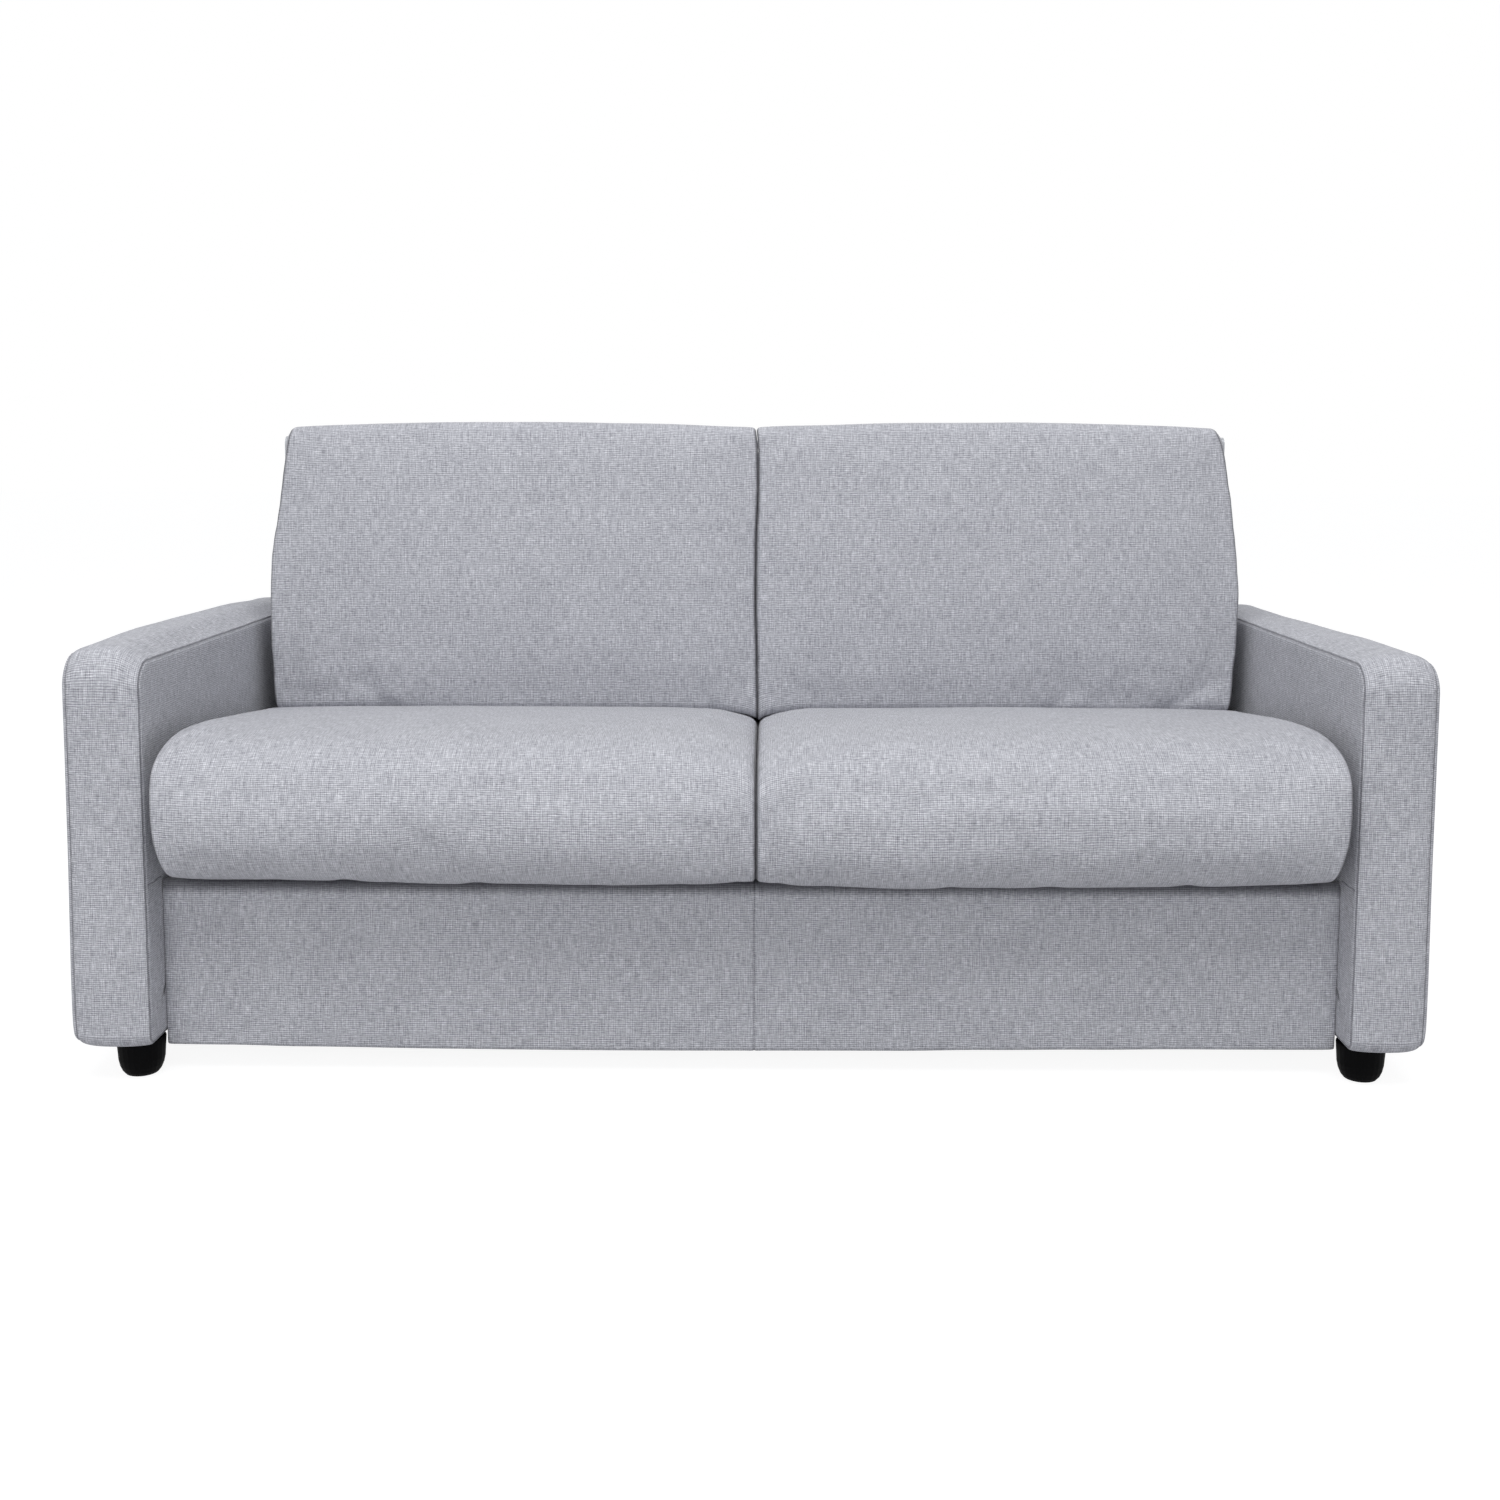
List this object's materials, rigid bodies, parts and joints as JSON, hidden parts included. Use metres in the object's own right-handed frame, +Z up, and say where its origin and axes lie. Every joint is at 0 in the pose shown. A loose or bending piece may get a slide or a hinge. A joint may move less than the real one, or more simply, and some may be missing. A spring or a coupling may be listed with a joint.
{
  "type": "sleeper sofa",
  "caption": "Upholstered sofa with box arms, split seat and back cushions and a frame that rolls forward into a double bed.",
  "frame": {"origin": "on the floor under the middle of the closed sofa", "axes": "+X to the right seen from the front, +Y to the rear, +Z up"},
  "size_m": [1.979, 0.9698, 0.9796],
  "materials": {
    "upholstery": "matte",
    "ticking": "matte",
    "timber": "matte",
    "frame_steel": "satin",
    "pin_steel": "satin",
    "foot_plastic": "matte",
    "rubber": "matte"
  },
  "bodies": {
    "sofa_base": {"arm_cover_left": "upholstery", "arm_cover_right": "upholstery", "arm_frame_left": "timber", "arm_frame_right": "timber", "arm_base_board_left": "timber", "arm_base_board_right": "timber", "front_foot_left": "foot_plastic", "front_foot_right": "foot_plastic", "rear_foot_left": "foot_plastic", "rear_foot_right": "foot_plastic", "front_panel_cover": "upholstery", "front_panel_board": "timber", "rear_panel_cover": "upholstery", "rear_panel_board": "timber", "side_plate_left": "frame_steel", "side_plate_right": "frame_steel", "front_crossbar": "frame_steel", "front_swing_base_pin_left": "pin_steel", "front_swing_base_pin_right": "pin_steel", "rear_swing_base_pin_left": "pin_steel", "rear_swing_base_pin_right": "pin_steel", "rest_buffer_left": "rubber", "rest_buffer_right": "rubber"},
    "front_swing_arms": {"front_swing_arm_left": "frame_steel", "front_swing_arm_right": "frame_steel"},
    "rear_swing_arms": {"rear_swing_arm_left": "frame_steel", "rear_swing_arm_right": "frame_steel"},
    "head_section": {"head_frame": "frame_steel", "head_hinge_plate_left": "frame_steel", "head_hinge_plate_right": "frame_steel", "head_mattress": "ticking", "front_swing_tip_pin_left": "pin_steel", "front_swing_tip_pin_right": "pin_steel", "rear_swing_tip_pin_left": "pin_steel", "rear_swing_tip_pin_right": "pin_steel", "fold_hinge_pin_left": "pin_steel", "fold_hinge_pin_right": "pin_steel"},
    "seat_section": {"seat_frame": "frame_steel", "seat_hinge_plate_left": "frame_steel", "seat_hinge_plate_right": "frame_steel", "middle_mattress": "ticking", "seat_cushion_left": "upholstery", "seat_cushion_right": "upholstery", "knee_hinge_pin_left": "pin_steel", "knee_hinge_pin_right": "pin_steel"},
    "back_section": {"back_frame": "frame_steel", "middle_leg_lug_left": "frame_steel", "middle_leg_lug_right": "frame_steel", "foot_mattress": "ticking", "back_cushion_left": "upholstery", "back_cushion_right": "upholstery"},
    "middle_legs": {"middle_leg_hoop": "frame_steel", "middle_leg_pad_left": "rubber", "middle_leg_pad_right": "rubber"},
    "foot_legs": {"foot_leg_hoop": "frame_steel", "foot_leg_pad_left": "rubber", "foot_leg_pad_right": "rubber"}
  },
  "joints": [
    {"name": "bed_unfold", "type": "hinge", "parent": "head_section", "child": "seat_section", "pos_m": [0, -0.32, 0.1726], "axis": [1, 0, 0], "range_deg": [0, 180]},
    {"name": "front_arms_swing", "type": "hinge", "parent": "sofa_base", "child": "front_swing_arms", "pos_m": [0, -0.22, 0.1679], "axis": [1, 0, 0], "range_deg": [0, 164]},
    {"name": "rear_arms_swing", "type": "hinge", "parent": "sofa_base", "child": "rear_swing_arms", "pos_m": [0, 0.07, 0.1679], "axis": [1, 0, 0], "range_deg": [0, 164]},
    {"name": "head_stays_level", "type": "hinge", "parent": "front_swing_arms", "child": "head_section", "pos_m": [0, -0.09261, 0.061], "axis": [1, 0, 0], "range_deg": [-164, 0]},
    {"name": "back_unfold", "type": "hinge", "parent": "seat_section", "child": "back_section", "pos_m": [0, 0.315, 0.2842], "axis": [1, 0, 0], "range_deg": [-90, 0]},
    {"name": "middle_legs_hang", "type": "hinge", "parent": "back_section", "child": "middle_legs", "pos_m": [0, 0.294, 0.3342], "axis": [1, 0, 0], "range_deg": [-90, 0]},
    {"name": "foot_legs_hang", "type": "hinge", "parent": "back_section", "child": "foot_legs", "pos_m": [0, 0.315, 0.9382], "axis": [1, 0, 0], "range_deg": [-90, 0]}
  ],
  "couplings": [
    {"joint": "front_arms_swing", "follows": "bed_unfold", "ratio": 0.91},
    {"joint": "rear_arms_swing", "follows": "bed_unfold", "ratio": 0.91},
    {"joint": "head_stays_level", "follows": "bed_unfold", "ratio": -0.91},
    {"joint": "back_unfold", "follows": "bed_unfold", "ratio": -0.5},
    {"joint": "middle_legs_hang", "follows": "bed_unfold", "ratio": -0.5},
    {"joint": "foot_legs_hang", "follows": "bed_unfold", "ratio": -0.5}
  ]
}
